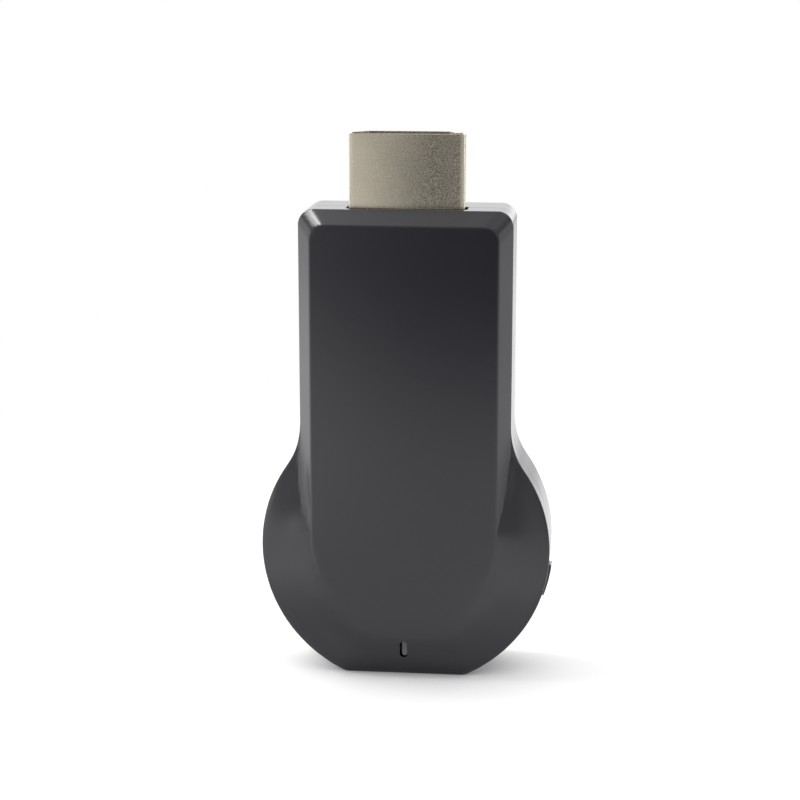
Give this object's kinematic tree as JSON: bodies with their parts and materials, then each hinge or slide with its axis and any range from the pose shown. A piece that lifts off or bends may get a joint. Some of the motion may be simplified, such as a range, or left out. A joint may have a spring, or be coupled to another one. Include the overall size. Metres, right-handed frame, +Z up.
{
  "type": "wireless display dongle",
  "caption": "Stick-shaped wireless display dongle: round lower part, bevelled stem, video plug on top, power inlet in the foot and a side button.",
  "frame": {"origin": "middle of the box's bottom, on the flat foot that the dongle stands on", "axes": "+Z up towards the video plug, +X to the right seen from the front, and the front faces -Y"},
  "size_m": [0.0358, 0.012, 0.0669],
  "materials": {
    "housing_black": "smooth satin",
    "button_black": "satin",
    "pipe_clear": "clear, a little grey",
    "nickel_sheet": "satin nickel",
    "insulator_black": "satin",
    "contact_gold": "gold plated",
    "board_green": "green lacquer",
    "chip_black": "matt",
    "shield_steel": "tinned",
    "pad_grey": "soft, matt",
    "spreader_aluminium": "plain",
    "ferrite_grey": "matt",
    "ceramic_white": "ceramic",
    "crystal_steel": "lid of a crystal",
    "capacitor_tan": "ceramic with tinned ends",
    "resistor_black": "film on ceramic",
    "lamp_white": "clear lens",
    "switch_dark": "matt",
    "plunger_black": "matt"
  },
  "bodies": {
    "housing": {"front_shell": "housing_black", "back_shell": "housing_black", "light_pipe": "pipe_clear", "plug_shell": "nickel_sheet", "usb_shell": "nickel_sheet", "plug_insulator": "insulator_black", "usb_tongue": "insulator_black", "plug_contacts": "contact_gold", "usb_contacts": "contact_gold", "main_board": "board_green", "main_chip": "chip_black", "memory_chip": "chip_black", "flash_chip": "chip_black", "wifi_chip": "chip_black", "regulator": "chip_black", "wifi_shield": "shield_steel", "switch_frame": "shield_steel", "switch_dome": "shield_steel", "thermal_pad": "pad_grey", "heat_spreader": "spreader_aluminium", "power_inductor": "ferrite_grey", "chip_antenna": "ceramic_white", "crystal": "crystal_steel", "capacitors": "capacitor_tan", "resistors": "resistor_black", "status_led": "lamp_white", "switch_body": "switch_dark"},
    "button": {"function_button": "button_black"},
    "plunger": {"switch_plunger": "plunger_black"}
  },
  "joints": [
    {"name": "button_press", "type": "slide", "parent": "housing", "child": "button", "axis": [-0.9724, 0, 0.2334], "range_m": [0, 0.00025], "stiffness_N_per_m": 1000},
    {"name": "plunger_press", "type": "slide", "parent": "housing", "child": "plunger", "axis": [-0.9724, 0, 0.2334], "range_m": [0, 0.00025]}
  ],
  "couplings": [
    {"joint": "plunger_press", "follows": "button_press", "ratio": 1}
  ]
}
